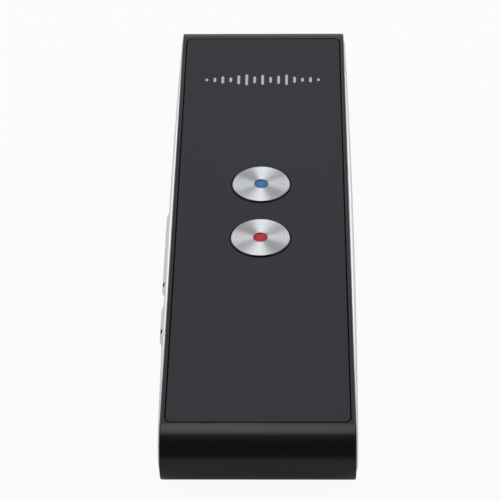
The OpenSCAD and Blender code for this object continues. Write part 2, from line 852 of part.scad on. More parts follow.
// Coils and capacitors in two rows, with a chip at the end of each
module board_parts() {
    color("tan") for (i = [0 : parts_in_row - 1]) {
        translate([parts_x0 + i * coil_pitch, coil_y0, board_z1]) cube(coil);
        translate([parts_x0 + i * capacitor_pitch, capacitor_y0, board_z1]) cube(capacitor);
    }
    color("dimgray") {
        translate([charger_x, charger_y0, board_z1]) cube(charger_chip);
        translate([radio_x, radio_y0, board_z1]) cube(radio_chip);
    }
}

// A flexible strip folded over the edges of the main board and the side board
module side_flex() {
    mid = (volume_key_y + power_key_y) / 2;
    color("orange") {
        block([-side_board_x0, mid - flex_w / 2, board_z1],
            [-side_board_x0 + flex_reach, mid + flex_w / 2, board_z1 + flex_t]);
        block([-side_board_x0, mid - flex_w / 2, board_z1],
            [-side_board_x0 + flex_t, mid + flex_w / 2, z_mid + side_board_h / 2]);
    }
}

module antenna_strip() {
    color("orange") block([frame_w / 2 + eps, -antenna_l / 2, floor_z1],
        [frame_w / 2 + flex_t, antenna_l / 2, board_z0 - antenna_inset]);
}

// ---- Battery ----

module battery_cell() {
    color("silver") translate([0, battery_y1, battery_mid_z]) rotate([90, 0, 0])
        linear_extrude(battery_l)
            round_rect(battery_w, battery_z1 - battery_z0, battery_corner_r);
}

module battery_protection_board() {
    color(board_green) block([-protection_w / 2, battery_y1, battery_mid_z - protection_h / 2],
        [protection_w / 2, battery_y1 + protection_t, battery_mid_z + protection_h / 2]);
}

module battery_pad() {
    color("white") block([pad_inset - battery_w / 2, battery_y0 + pad_inset, floor_z1],
        [battery_w / 2 - pad_inset, battery_y1 - pad_inset, battery_z0]);
}

module battery_connector() {
    color("ivory") block([connector_x - connector_w / 2, connector_y0, board_z0 - connector_h],
        [connector_x + connector_w / 2, connector_y0 + connector_l, board_z0]);
}

// Two leads from the protection board to the connector
module battery_leads() {
    start = [battery_y1 + protection_t, battery_mid_z + protection_h / 2 - lead_d];
    for (i = [-1, 1]) color(i > 0 ? "firebrick" : "black")
        lead(connector_x + i * lead_pitch / 2, start, [connector_y0, lead_z], lead_sag);
}

// ---- Speaker ----

module speaker() {
    color("dimgray") translate([0, speaker_y, 0])
        plate(speaker_w, speaker_l, window_r, speaker_z0, speaker_z1);
}

module speaker_gasket() {
    color("black") translate([0, speaker_y, 0]) difference() {
        plate(speaker_w, speaker_l, window_r, mesh_z1, speaker_z0);
        plate(speaker_w - 2 * gasket_w, speaker_l - 2 * gasket_w, window_r / 2, 0, case_t);
    }
}

module speaker_mesh() {
    color("black") translate([0, speaker_y, 0])
        plate(speaker_w, speaker_l, window_r, cavity_z0, mesh_z1);
}

// Two leads from the speaker's terminals, over the divider, to the underside of the main board
module speaker_leads() {
    start = [speaker_y + speaker_l / 2, speaker_z1 - lead_d];
    for (i = [-1, 1]) color(i > 0 ? "firebrick" : "black")
        lead(i * lead_pitch / 2, start, [board_y0 + speaker_lead_reach, speaker_lead_z], 0);
}

// ---- Microphone and charging socket ----

module microphone() {
    color(steel) translate([mic_x, mic_y0, z_mid]) rotate([-90, 0, 0])
        cylinder(d = mic_d, h = mic_l, $fn = 48);
}

// A rubber cup between the microphone and the round end of the case
module microphone_boot() {
    color("black") difference() {
        intersection() {
            translate([mic_x, mic_y0, z_mid]) rotate([-90, 0, 0])
                cylinder(d = boot_d, h = case_t, $fn = 48);
            side_slab(case_l - 2 * (wall_t + clip_play), cavity_h - 2 * clip_play, -case_w, case_w);
        }
        translate([mic_x, mic_y0 - over, z_mid]) rotate([-90, 0, 0])
            cylinder(d = mic_d, h = mic_l + over, $fn = 48);
        translate([mic_x, mic_y0, z_mid]) rotate([-90, 0, 0])
            cylinder(d = mic_hole_d, h = case_t, $fn = 32);
    }
}

// The socket's outline grown by a margin, between two places along the case
module socket_outline(grow, y0, y1) {
    half_w = usb_w / 2 + grow;
    half_h = usb_h / 2 + grow;
    slope = usb_corner + grow / 2;
    translate([0, y0, z_mid]) rotate([-90, 0, 0]) linear_extrude(y1 - y0) polygon([
        [-half_w, -half_h], [half_w, -half_h], [half_w, half_h - slope],
        [half_w - slope, half_h], [slope - half_w, half_h], [-half_w, half_h - slope]]);
}

module usb_shell() {
    color(steel) difference() {
        socket_outline(0, usb_y0, usb_y1);
        socket_outline(-usb_sheet, usb_y0 + usb_sheet, usb_y1 + over);
    }
}

module usb_tongue() {
    color("black") block([-tongue_w / 2, usb_y0 + usb_sheet, z_mid - tongue_t / 2],
        [tongue_w / 2, usb_y1 - tongue_sink, z_mid + tongue_t / 2]);
}

// ---- Screws ----

// A slotted screw with a round head, its shank pointing down from z = 0
module board_screw() {
    translate([0, 0, -screw_l]) cylinder(d = screw_d, h = screw_l + eps, $fn = 32);
    difference() {
        cylinder(d = screw_head_d, h = screw_head_h, $fn = 48);
        block([-screw_head_d, -screw_slot_w / 2, screw_head_h / 2],
            [screw_head_d, screw_slot_w / 2, screw_head_h + over]);
    }
}

module board_screws() {
    color(steel) screw_places() translate([0, 0, board_z1]) board_screw();
}

module case_screw() {
    translate([0, 0, -eps]) cylinder(d = screw_d, h = screw_l, $fn = 32);
    difference() {
        translate([0, 0, -flat_head_h]) cylinder(d = screw_head_d, h = flat_head_h, $fn = 48);
        block([-screw_head_d, -screw_slot_w / 2, -flat_head_h - over],
            [screw_head_d, screw_slot_w / 2, -flat_head_h / 2]);
    }
}

module case_screws() {
    color(steel) screw_places() translate([0, 0, pocket_depth + flat_head_h]) case_screw();
}

outer_case();
front_panel();
front_panel_tape();
back_panel();
back_panel_tape();
left_side_cover();
right_side_cover();
inner_frame();
chamber_lid();
main_board();
shield_can();
processor_chip();
memory_chip();
board_parts();
blue_button_cap();
blue_button_dot();
blue_button_carrier();
blue_switch_stem();
blue_switch_body();
red_button_cap();
red_button_dot();
red_button_carrier();
red_switch_stem();
red_switch_body();
volume_key();
power_key();
side_switch_board();
side_switch_bodies();
volume_switch_stems();
power_switch_stem();
side_flex();
antenna_strip();
battery_cell();
battery_protection_board();
battery_pad();
battery_leads();
battery_connector();
speaker();
speaker_gasket();
speaker_mesh();
speaker_leads();
microphone();
microphone_boot();
usb_shell();
usb_tongue();
board_screws();
case_screws();
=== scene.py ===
import math

import bmesh
import bpy
from mathutils import Matrix, Vector


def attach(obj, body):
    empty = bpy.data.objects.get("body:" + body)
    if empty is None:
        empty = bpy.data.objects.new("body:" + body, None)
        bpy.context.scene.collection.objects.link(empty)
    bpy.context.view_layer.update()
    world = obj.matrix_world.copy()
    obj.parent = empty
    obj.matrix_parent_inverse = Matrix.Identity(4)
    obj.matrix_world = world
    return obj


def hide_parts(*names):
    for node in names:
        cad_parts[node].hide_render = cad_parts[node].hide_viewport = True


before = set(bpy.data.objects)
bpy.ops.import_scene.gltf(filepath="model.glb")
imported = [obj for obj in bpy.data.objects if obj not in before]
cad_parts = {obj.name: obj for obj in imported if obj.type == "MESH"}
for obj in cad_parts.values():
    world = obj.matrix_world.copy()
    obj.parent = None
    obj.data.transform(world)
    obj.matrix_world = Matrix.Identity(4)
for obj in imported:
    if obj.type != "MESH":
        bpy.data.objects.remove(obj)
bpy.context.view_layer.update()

# The device lies on its back: +Z out of the face, +Y towards the charging socket, +X to the right.
# Sizes are in mm, as the solids have them.
MM = 0.001

# Case: half its width, its thickness, and the straight length between its two round ends
HALF_W = 19.0
CASE_T = 12.8
CASE_R = CASE_T / 2
MID_Z = CASE_T / 2
STRAIGHT_L = 132.2
WALL = 1.75
# Metal left round the recess of a side cover, and the place of the cover's seat
RIM = 1.25
SEAT_X = 17.8

# Pockets and the plates in them: width, length and corner radius
POCKET_SIZE = (36.3, STRAIGHT_L, 1.4)
POCKET_DEPTH = 0.95
PLATE_GAP = 0.3
PLATE_SIZE = (35.7, STRAIGHT_L - 2 * PLATE_GAP, 1.1)
PLATE_T = 0.8

# Speaker slots in the back plate: length, width and corner radius
GRILLE_SLOT = (14.0, 1.2, 0.599)
GRILLE_SLOTS = 5
GRILLE_PITCH = 2.3
GRILLE_Y = -52.5

# Talk buttons
BUTTON_Y = {"blue": 9.3, "red": -9.3}
BUTTON_R = 6.25
BUTTON_HOLE_R = 6.55
BUTTON_TOP = CASE_T + 0.25
BUTTON_FOOT = 11.0
BUTTON_BEVEL = 0.15
DOT_R = 1.55
DOT_FLOOR = BUTTON_TOP - 0.55

# Side covers: half height, face, its fall towards the ends, and the radius of its edge
COVER_R = 5.05
COVER_X = 19.9
COVER_FALL = 0.6
COVER_EDGE = 1.1
CLIP_Y = (-55, -22, 22, 55)

# Side keys
KEY_H = 3.6
KEY_GAP = 0.25
KEY_LIP = 0.6
KEY_LIP_X = (16.75, 17.35)
VOLUME_KEY = {"length": 27.2, "y": -7.0, "face_x": 20.594, "dimple_y": -18.5}
POWER_KEY = {"length": 11.8, "y": -30.4, "face_x": 20.49, "dimple_y": -33.5}
DIMPLE_TURN = math.radians(28)

# Holes for the screws, the charging socket and the microphone
SCREW_X = (-11.8, 11.8)
SCREW_Y = (-38.0, 50.0)
SOCKET_Y = (66.6, 72.2)
END_HOLE_Y = 68.7
MIC_X = 9.5

# How far a cutter runs past what it cuts, how close two points merge, and the slack of a test
BEYOND = 1.0
MERGE = 0.0005
NEAR = 0.01
SMOOTH_BELOW = math.radians(32)


# ---- Meshes, in millimetres until they are finished ----

def tidy(bm):
    """Merges what meets and turns the faces outwards."""
    bmesh.ops.remove_doubles(bm, verts=bm.verts, dist=MERGE)
    bmesh.ops.recalc_face_normals(bm, faces=bm.faces)


def add_object(name, data):
    """A new object in the scene, at the origin."""
    made = bpy.data.objects.new(name, data)
    bpy.context.collection.objects.link(made)
    return made


def piece(name, bm, materials, body="case", replaces=()):
    """Finishes a mesh: in metres, smooth, with its materials, and riding on a body."""
    tidy(bm)
    bmesh.ops.scale(bm, vec=(MM, MM, MM), verts=bm.verts)
    mesh = bpy.data.meshes.new(name)
    bm.to_mesh(mesh)
    bm.free()
    mesh.shade_smooth()
    mesh.set_sharp_from_angle(angle=SMOOTH_BELOW)
    for material in materials:
        mesh.materials.append(material)
    made = add_object(name, mesh)
    flats = made.modifiers.new("flat faces stay flat", "WEIGHTED_NORMAL")
    flats.keep_sharp = True
    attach(made, body)
    if replaces:
        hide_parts(*replaces)


def verts_of(geom):
    """The points among the points, edges and faces that an operator gives back."""
    return [part for part in geom if isinstance(part, bmesh.types.BMVert)]


def middled(count):
    """Even steps about zero, one for each place in a row."""
    return [i - (count - 1) / 2 for i in range(count)]


def bevel(bm, geom, width, segments=3, affect="EDGES", clamp=True):
    """Rounds edges or corners by a width, and gives back the new points."""
    return bmesh.ops.bevel(
        bm, geom=geom, offset=width, offset_type="OFFSET", segments=segments, profile=0.5,
        affect=affect, clamp_overlap=clamp, material=-1,
    )["verts"]


def soften(bm, width, where=lambda edge: True):
    """Rounds the sharp edges by a width."""
    sharp = math.radians(35)
    bevel(bm, [
        edge for edge in bm.edges
        if edge.is_manifold and edge.calc_face_angle() > sharp and where(edge)
    ], width)
    return bm


def rounded_rectangle(bm, width, length, radius, at=(0, 0, 0), steps=12):
    """Adds the edges of a rectangle with round corners."""
    made = bmesh.ops.create_grid(bm, x_segments=1, y_segments=1, size=0.5)["verts"]
    bmesh.ops.scale(bm, vec=(width, length, 1), verts=made)
    bmesh.ops.translate(bm, vec=at, verts=made)
    turned = bevel(bm, made, radius, segments=steps, affect="VERTICES", clamp=False)
    face = max((f for v in turned for f in v.link_faces), key=lambda f: f.calc_area())
    edges = list(face.edges)
    bmesh.ops.delete(bm, geom=[face], context="FACES_ONLY")
    return edges


def circle(bm, radius, at, steps=96):
    """Adds the edges of a circle."""
    made = bmesh.ops.create_circle(
        bm, cap_ends=False, radius=radius, segments=steps, matrix=Matrix.Translation(at))
    return list({edge for vert in made["verts"] for edge in vert.link_edges})


def thicken(bm, edges, depth):
    """Fills flat outlines, with holes where one lies in another, and gives them a depth."""
    bmesh.ops.triangle_fill(bm, use_beauty=True, use_dissolve=False, edges=edges)
    made = bmesh.ops.extrude_face_region(bm, geom=bm.faces[:])["geom"]
    bmesh.ops.translate(bm, vec=(0, 0, depth), verts=verts_of(made))
    tidy(bm)
    return bm


def slab(width, length, radius, z0, z1, at=(0, 0)):
    """A plate with round corners, between two heights."""
    bm = bmesh.new()
    return thicken(bm, rounded_rectangle(bm, width, length, radius, (*at, z0)), z1 - z0)


def rod(radius, start, end, steps=48):
    """A round rod between two points."""
    start, end = Vector(start), Vector(end)
    along = end - start
    bm = bmesh.new()
    bmesh.ops.create_cone(
        bm, cap_ends=True, segments=steps, radius1=radius, radius2=radius, depth=along.length,
        matrix=Matrix.Translation((start + end) / 2)
        @ along.to_track_quat("Z", "Y").to_matrix().to_4x4(),
    )
    return bm


def add_block(bm, middle, size):
    """Adds a block with a middle and a size, and gives back its points."""
    return bmesh.ops.create_cube(bm, size=1, matrix=Matrix.LocRotScale(middle, None, size))["verts"]


def box(low, high):
    """A block given by two corners."""
    bm = bmesh.new()
    low, high = Vector(low), Vector(high)
    add_block(bm, (low + high) / 2, high - low)
    return bm


def run_round(profile, straight, y=0, closed=False, steps=48):
    """Runs a profile of (x, distance from the middle line) along Y and round both ends."""
    end = straight / 2
    bm = bmesh.new()
    verts = [bm.verts.new((x, end, MID_Z + out)) for x, out in profile]
    pairs = list(zip(verts, verts[1:])) + ([(verts[-1], verts[0])] if closed else [])
    edges = [bm.edges.new(pair) for pair in pairs]
    last = bmesh.ops.spin(
        bm, geom=verts + edges, cent=(0, end, MID_Z), axis=(1, 0, 0), dvec=(0, 0, 0),
        angle=-math.pi, steps=steps, use_merge=False, use_normal_flip=False, use_duplicate=False,
    )["geom_last"]
    last = [edge for edge in last if isinstance(edge, bmesh.types.BMEdge)]
    sides = bmesh.ops.extrude_edge_only(bm, edges=edges + last)["geom"]
    bmesh.ops.translate(bm, vec=(0, -end, 0), verts=verts_of(sides))
    bmesh.ops.remove_doubles(bm, verts=bm.verts, dist=MERGE)
    half = bm.verts[:] + bm.edges[:] + bm.faces[:]
    bmesh.ops.mirror(bm, geom=half, axis="Y", merge_dist=MERGE)
    bmesh.ops.translate(bm, vec=(0, y, 0), verts=bm.verts)
    tidy(bm)
    return bm


def lathe(profile, y, steps=128):
    """Turns a profile of (radius, height) points round an upright axis on the centre line."""
    bm = bmesh.new()
    verts = [bm.verts.new((radius, y, height)) for radius, height in profile]
    edges = [bm.edges.new(pair) for pair in zip(verts, verts[1:])]
    bmesh.ops.spin(
        bm, geom=verts + edges, cent=(0, y, 0), axis=(0, 0, 1), dvec=(0, 0, 0),
        angle=2 * math.pi, steps=steps, use_merge=True, use_normal_flip=False,
        use_duplicate=False,
    )
    return bm


def combine(bm, others, operation="DIFFERENCE"):
    """Cuts other meshes out of a mesh, or joins them to it."""
    flat = 0.0002
    used = []
    for part in [bm, *others]:
        tidy(part)
        mesh = bpy.data.meshes.new("part")
        part.to_mesh(mesh)
        part.free()
        used.append(add_object("part", mesh))
    for other in used[1:]:
        step = used[0].modifiers.new("combine", "BOOLEAN")
        step.operation = operation
        step.solver = "EXACT"
        step.object = other
    made = bmesh.new()
    made.from_object(used[0], bpy.context.evaluated_depsgraph_get())
    for part in used:
        bpy.data.meshes.remove(part.data)
    bmesh.ops.remove_doubles(made, verts=made.verts, dist=MERGE)
    bmesh.ops.dissolve_limit(made, angle_limit=flat, verts=made.verts, edges=made.edges)
    return made


def mirrored(bm):
    """Turns a mesh for the right side into one for the left side."""
    bmesh.ops.scale(bm, vec=(-1, 1, 1), verts=bm.verts)
    bmesh.ops.reverse_faces(bm, faces=bm.faces)
    return bm


# ---- Materials ----

def linear(code):
    """An sRGB hex colour as linear red, green, blue and alpha."""
    channels = [int(code[i:i + 2], 16) / 255 for i in (1, 3, 5)]
    return [c / 12.92 if c <= 0.04045 else ((c + 0.055) / 1.055) ** 2.4 for c in channels] + [1]


WHITE = linear("#FFFFFF")


def add(tree, kind, inputs=None, **settings):
    """Adds a node with its settings, and gives each input that is named a value or a link."""
    node = tree.nodes.new(kind)
    for name, value in settings.items():
        setattr(node, name, value)
    for key, value in (inputs or {}).items():
        if isinstance(value, bpy.types.NodeSocket):
            tree.links.new(value, node.inputs[key])
        else:
            node.inputs[key].default_value = value
    return node


def start(name, **shader_inputs):
    """A new material: its node tree, its shader, and the place on the piece in metres."""
    material = bpy.data.materials.new(name)
    material.use_nodes = True
    tree = material.node_tree
    shader = tree.nodes["Principled BSDF"]
    for key, value in shader_inputs.items():
        shader.inputs[key.replace("_", " ")].default_value = value
    place = add(tree, "ShaderNodeTexCoord").outputs["Object"]
    return material, tree, shader, place


def surface(tree, shader, pattern, dark, light, rough, bump):
    """Lets a pattern set the colour, the roughness and the relief of a surface."""
    depth = 0.01 * MM
    colour = add(tree, "ShaderNodeMix", {
        0: pattern, 6: linear(dark), 7: linear(light),
    }, data_type="RGBA")
    tree.links.new(colour.outputs[2], shader.inputs["Base Color"])
    roughness = add(tree, "ShaderNodeMapRange", {
        "Value": pattern, "To Min": rough[0], "To Max": rough[1],
    })
    tree.links.new(roughness.outputs[0], shader.inputs["Roughness"])
    relief = add(tree, "ShaderNodeBump", {"Height": pattern, "Strength": bump, "Distance": depth})
    tree.links.new(relief.outputs[0], shader.inputs["Normal"])


def grained(name, dark, light, grain_mm, rough, bump=0.1, **shader_inputs):
    """A finish of one kind all over, with a grain of a size in millimetres."""
    material, tree, shader, place = start(name, **shader_inputs)
    grain = add(tree, "ShaderNodeTexNoise", {
        "Vector": place, "Scale": 1 / (grain_mm * MM), "Detail": 3.0,
    })
    surface(tree, shader, grain.outputs[0], dark, light, rough, bump)
    return material


def spun_aluminium(button_y):
    # Aluminium turned on a lathe: fine rings round the middle, which pull a highlight into spokes.
    # The rings are about 0.1 mm apart, drawn at 0.35 mm to show.
    ring_mm = 0.35
    material, tree, shader, place = start("spun_aluminium", Metallic=1.0, Anisotropic=0.95)
    centred = add(tree, "ShaderNodeMapping", {
        "Vector": place, "Location": (0, -button_y * MM, 0),
    }).outputs[0]
    radial = add(tree, "ShaderNodeVectorMath", {0: centred, 1: (1, 1, 0)}, operation="MULTIPLY")
    radius = add(tree, "ShaderNodeVectorMath", {0: radial.outputs[0]}, operation="LENGTH")
    rings = add(tree, "ShaderNodeTexNoise", {
        "W": radius.outputs["Value"], "Scale": 1 / (ring_mm * MM), "Detail": 2.0,
    }, noise_dimensions="1D")
    surface(tree, shader, rings.outputs[0], "#CDD0D4", "#F0F2F4", rough=(0.36, 0.44), bump=0.2)
    tree.links.new(radial.outputs[0], shader.inputs["Tangent"])
    return material


def woven_mesh():
    # Woven polyester dust cloth, dyed black: a dull, open net with pale crossings.
    # The threads are 0.12 mm apart. They are drawn at 1.885 mm, where 0.3 mm would show.
    thread_mm, depth_mm = 1.885, 0.08
    # At scale 1 the bands of a wave texture are this far apart
    band = 2 * math.pi / 20
    material, tree, shader, place = start("woven_polyester_mesh", Roughness=0.7)
    threads = [
        add(tree, "ShaderNodeTexWave", {
            "Vector": place, "Scale": band / (thread_mm * MM), "Distortion": 0.0,
        }, bands_direction=axis).outputs["Fac"]
        for axis in ("X", "Y")
    ]
    weave = add(tree, "ShaderNodeMath", {0: threads[0], 1: threads[1]}, operation="MULTIPLY")
    colour = add(tree, "ShaderNodeMix", {
        0: weave.outputs[0], 6: linear("#08080A"), 7: linear("#3A3A3D"),
    }, data_type="RGBA")
    tree.links.new(colour.outputs[2], shader.inputs["Base Color"])
    relief = add(tree, "ShaderNodeBump", {
        "Height": weave.outputs[0], "Strength": 0.6, "Distance": depth_mm * MM,
    })
    tree.links.new(relief.outputs[0], shader.inputs["Normal"])
    return material


# Aluminium, bead-blasted and anodised black: a deep black with a soft, satin highlight.
# The blast's grain is about 0.05 mm, drawn at 0.25 mm to show.
case_metal = grained("black_anodised_aluminium", "#151517", "#1A1A1C", 0.25, (0.26, 0.34),
    bump=0.15, Specular_IOR_Level=0.45)

# Black primer, brushed into the pockets before the tape goes in: dull, with no highlight. Darker
# than the case, it is partly painted shade, so the gap round each plate reads as a dark line
primer_painted_shade = grained("black_primer_painted_shade", "#0B0B0C", "#121213", 0.4, (0.75, 0.9),
    bump=0.3, Specular_IOR_Level=0.1)

# Polycarbonate, sprayed matt: even dark grey, with a very fine tooth that spreads the light.
# The tooth is about 0.05 mm, drawn at 0.3 mm to show.
plate = grained("sprayed_grey_polycarbonate", "#22252C", "#272A31", 0.3, (0.40, 0.46),
    Specular_IOR_Level=0.25)

# Moulded ABS with silver paint: bright, with fine flakes that sparkle a little.
# The flakes are about 0.03 mm, drawn at 0.2 mm to show.
silver = grained("silver_painted_abs", "#E2E5E9", "#F0F1F4", 0.2, (0.28, 0.36),
    bump=0.05, Metallic=0.4)

# Aluminium, bevelled with a diamond after the spinning: a bright line with sharp reflections.
# The tool's marks are about 0.03 mm apart, drawn at 0.3 mm to show.
polished_edge = grained("diamond_cut_aluminium", "#B9BDC2", "#CACDD1", 0.3, (0.14, 0.2),
    bump=0.02, Metallic=1.0)

# Soft enamel, poured into the cap: deep in colour, glossy, with slight clouding
blue_enamel = grained("poured_blue_enamel", "#2F6096", "#3B6EA9", 0.8, (0.25, 0.32),
    bump=0.02, Specular_IOR_Level=0.3)
red_enamel = grained("poured_red_enamel", "#A81420", "#BA1D28", 0.8, (0.25, 0.32),
    bump=0.02, Specular_IOR_Level=0.3)

# Ink, screen-printed on the plate and pad-printed in the keys' dimples: even and rather dull. The
# black in the dimples is partly painted shade, for the shade inside each hole
# The print's grain is about 0.1 mm, drawn at 0.3 mm to show.
light_ink = grained("screen_printed_grey_ink", "#A9AAAD", "#B8B9BC", 0.3, (0.5, 0.6))
dimple_ink_painted_shade = grained("pad_printed_ink_painted_shade", "#0C0C0D", "#161617", 0.3, (0.4, 0.5))

# Moulded plastics: black ABS with the mould's fine texture, and smoother ivory nylon
moulded_black = grained("moulded_black_abs", "#151517", "#1E1E20", 0.4, (0.45, 0.6))
moulded_pale = grained("moulded_ivory_nylon", "#DDD6C4", "#EAE5D8", 0.5, (0.4, 0.5))

# Pressed steel, plated with tin: soft bright metal with cloudy reflections
tin_plate = grained("tin_plated_steel", "#A9ACB0", "#C4C7CB", 0.6, (0.25, 0.38), Metallic=1.0)

# Stamped bronze contacts, plated with gold: warm, smooth and bright
gold = grained("gold_plated_bronze", "#C89A3C", "#E0B555", 0.4, (0.2, 0.3), Metallic=1.0)

# Aluminium pouch foil, crimped round the cell: pale, with broad soft clouding
foil = grained("crimped_aluminium_foil", "#A6A9AD", "#C2C5C9", 2.0, (0.3, 0.45), Metallic=0.8)

# Parts of the boards: glossy cured solder mask, dull moulded resin, and sandy fired ceramic
solder_mask = grained("cured_green_solder_mask", "#174430", "#235A40", 1.2, (0.3, 0.42))
resin = grained("moulded_black_epoxy", "#242426", "#303033", 0.3, (0.5, 0.65))
ceramic = grained("fired_ceramic", "#9C7650", "#C09A70", 0.4, (0.5, 0.65))

# Films: coated tissue tape with a paper-like face, and cast amber polyimide that shines
tape = grained("coated_tissue_tape", "#3E3E40", "#505052", 0.6, (0.7, 0.85))
amber_film = grained("cast_amber_polyimide", "#9A5C1E", "#B9772E", 1.5, (0.22, 0.3))

# Foams with open cells, which swallow the highlight, and dull moulded rubber
white_foam = grained("open_cell_white_foam", "#DADAD8", "#EDEDEB", 0.4, (0.85, 0.95), bump=0.5)
black_foam = grained("open_cell_black_foam", "#101011", "#1C1C1D", 0.4, (0.85, 0.95), bump=0.5)
rubber = grained("moulded_black_rubber", "#161617", "#202021", 0.4, (0.6, 0.75))

# Vinyl, extruded round the wire: dark red, with a soft sheen along the lead
lead_sleeve = grained("extruded_red_vinyl", "#7E1E1E", "#9C2A2A", 0.6, (0.35, 0.45))

dust_mesh = woven_mesh()

# Nodes that keep their solid and take a finish
FINISHES = {
    "front_panel_tape": tape, "back_panel_tape": tape,
    "inner_frame": moulded_black, "chamber_lid": moulded_black,
    "main_board": solder_mask, "side_switch_board": solder_mask,
    "battery_protection_board": solder_mask,
    "shield_can": tin_plate, "board_screws": tin_plate, "case_screws": tin_plate,
    "speaker": tin_plate, "microphone": tin_plate,
    "processor_chip": resin, "memory_chip": resin, "board_parts": ceramic,
    "blue_button_carrier": moulded_black, "red_button_carrier": moulded_black,
    "blue_switch_body": moulded_black, "red_switch_body": moulded_black,
    "side_switch_bodies": moulded_black, "usb_tongue": moulded_black,
    "blue_switch_stem": moulded_pale, "red_switch_stem": moulded_pale,
    "volume_switch_stems": moulded_pale, "power_switch_stem": moulded_pale,
    "battery_connector": moulded_pale,
    "side_flex": amber_film, "antenna_strip": amber_film,
    "battery_cell": foil, "battery_pad": white_foam,
    "battery_leads": lead_sleeve, "speaker_leads": lead_sleeve,
    "speaker_gasket": black_foam, "speaker_mesh": dust_mesh, "microphone_boot": rubber,
}
for node, finish in FINISHES.items():
    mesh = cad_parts[node].data
    mesh.materials.clear()
    mesh.materials.append(finish)


# ---- Pieces ----

def metal_case():
    """A ring of metal with half-round ends, a pocket in each face and a recess in each side."""
    rim_bevel, fine_bevel = 0.3, 0.05
    cavity_r, recess_r = CASE_R - WALL, CASE_R - RIM
    right = [
        (SEAT_X, cavity_r), (SEAT_X, recess_r), (HALF_W, recess_r), (HALF_W, CASE_R),
    ]
    left = [(-x, out) for x, out in reversed(right)]
    ring = run_round(right + left, STRAIGHT_L, closed=True)
    soften(ring, rim_bevel, where=lambda edge: all(on_outer_edge(v.co) for v in edge.verts))
    window_w, window_l, window_r = 15.0, 11.4, 1.0
    mic_hole_r, shank_r, head_r, head_z = 0.6, 0.9, 1.5, 1.4
    socket_room = 0.35
    hole_z = MID_Z + 2
    end_y = SOCKET_Y[1] + BEYOND
    cutters = [
        slab(*POCKET_SIZE, CASE_T - POCKET_DEPTH, CASE_T + BEYOND),
        slab(*POCKET_SIZE, -BEYOND, POCKET_DEPTH),
        slab(window_w, window_l, window_r, 0, WALL + BEYOND, at=(0, GRILLE_Y)),
        socket_outline(socket_room, END_HOLE_Y, end_y),
        rod(mic_hole_r, (MIC_X, END_HOLE_Y, MID_Z), (MIC_X, end_y, MID_Z), steps=32),
    ]
    for y in BUTTON_Y.values():
        cutters.append(rod(BUTTON_HOLE_R, (0, y, hole_z), (0, y, CASE_T + BEYOND), steps=96))
    for x in SCREW_X:
        for y in SCREW_Y:
            cutters.append(rod(head_r, (x, y, -BEYOND), (x, y, head_z), steps=32))
            cutters.append(rod(shank_r, (x, y, -BEYOND), (x, y, WALL + BEYOND), steps=32))
    case = soften(combine(ring, cutters), fine_bevel)
    # The pockets' floors and walls take the primer: painted shade in the gap round each plate
    for face in case.faces:
        face.material_index = int(all(in_a_pocket(v.co) for v in face.verts))
    piece("metal_case", case, [case_metal, primer_painted_shade], replaces=["outer_case"])


def in_a_pocket(place):
    """True on the floor and the walls of the two pockets, below their softened edges."""
    softened = 0.04
    half_w, half_l = POCKET_SIZE[0] / 2, POCKET_SIZE[1] / 2
    from_middle = abs(place.z - MID_Z)
    return (abs(place.x) < half_w + NEAR and abs(place.y) < half_l + NEAR
        and CASE_R - POCKET_DEPTH - NEAR < from_middle < CASE_R - softened)


def on_outer_edge(place):
    """True on the two long edges of the case, where its outside meets its sides."""
    from_middle = math.hypot(max(abs(place.y) - STRAIGHT_L / 2, 0), place.z - MID_Z)
    return abs(place.x) > HALF_W - NEAR and from_middle > CASE_R - NEAR


def face_plate():
    """The front plate, with a fine edge all round and round its two holes."""
    edge_bevel = 0.04
    z0 = CASE_T - PLATE_T
    bm = bmesh.new()
    edges = rounded_rectangle(bm, *PLATE_SIZE, at=(0, 0, z0))
    for y in BUTTON_Y.values():
        edges += circle(bm, BUTTON_HOLE_R, (0, y, z0))
    soften(thicken(bm, edges, PLATE_T), edge_bevel)
    piece("face_plate", bm, [plate], replaces=["front_panel"])


def back_plate():
    """The back plate, with the speaker's slots."""
    edge_bevel = 0.06
    bm = bmesh.new()
    edges = rounded_rectangle(bm, *PLATE_SIZE)
    for step in middled(GRILLE_SLOTS):
        edges += rounded_rectangle(bm, *GRILLE_SLOT, at=(0, GRILLE_Y + GRILLE_PITCH * step, 0))
    soften(thicken(bm, edges, PLATE_T), edge_bevel)
    piece("back_plate", bm, [plate], replaces=["back_panel"])


def socket_outline(grow, y0, y1):
    """The socket's outline, with its two lower corners sloped, between two places along Y."""
    half_w, half_h, slope = 3.75 + grow, 1.3 + grow, 0.8 + grow / 2
    bm = box((-half_w, y0, MID_Z - half_h), (half_w, y1, MID_Z + half_h))
    low = [edge for edge in bm.edges if all(v.co.z < MID_Z for v in edge.verts)
        and abs(edge.verts[0].co.y - edge.verts[1].co.y) > NEAR]
    bevel(bm, low, slope, segments=1)
    return bm


def charging_socket():
    """A folded steel shell, and gold contacts under its tongue."""
    sheet, sheet_bevel = 0.3, 0.06
    y0, y1 = SOCKET_Y
    shell = combine(socket_outline(0, y0, y1), [socket_outline(-sheet, y0 + sheet, y1 + BEYOND)])
    piece("socket_shell", soften(shell, sheet_bevel), [tin_plate],
        replaces=["usb_shell"])
    count, pitch, under_tongue_z, set_back = 5, 0.65, 6.1, 1.2
    width, length, thickness, contact_bevel = 0.35, 3.8, 0.08, 0.01
    contacts = bmesh.new()
    for step in middled(count):
        middle = (pitch * step, y1 - set_back - length / 2, under_tongue_z)
        add_block(contacts, middle, (width, length, thickness))
    piece("socket_contacts", soften(contacts, contact_bevel), [gold])


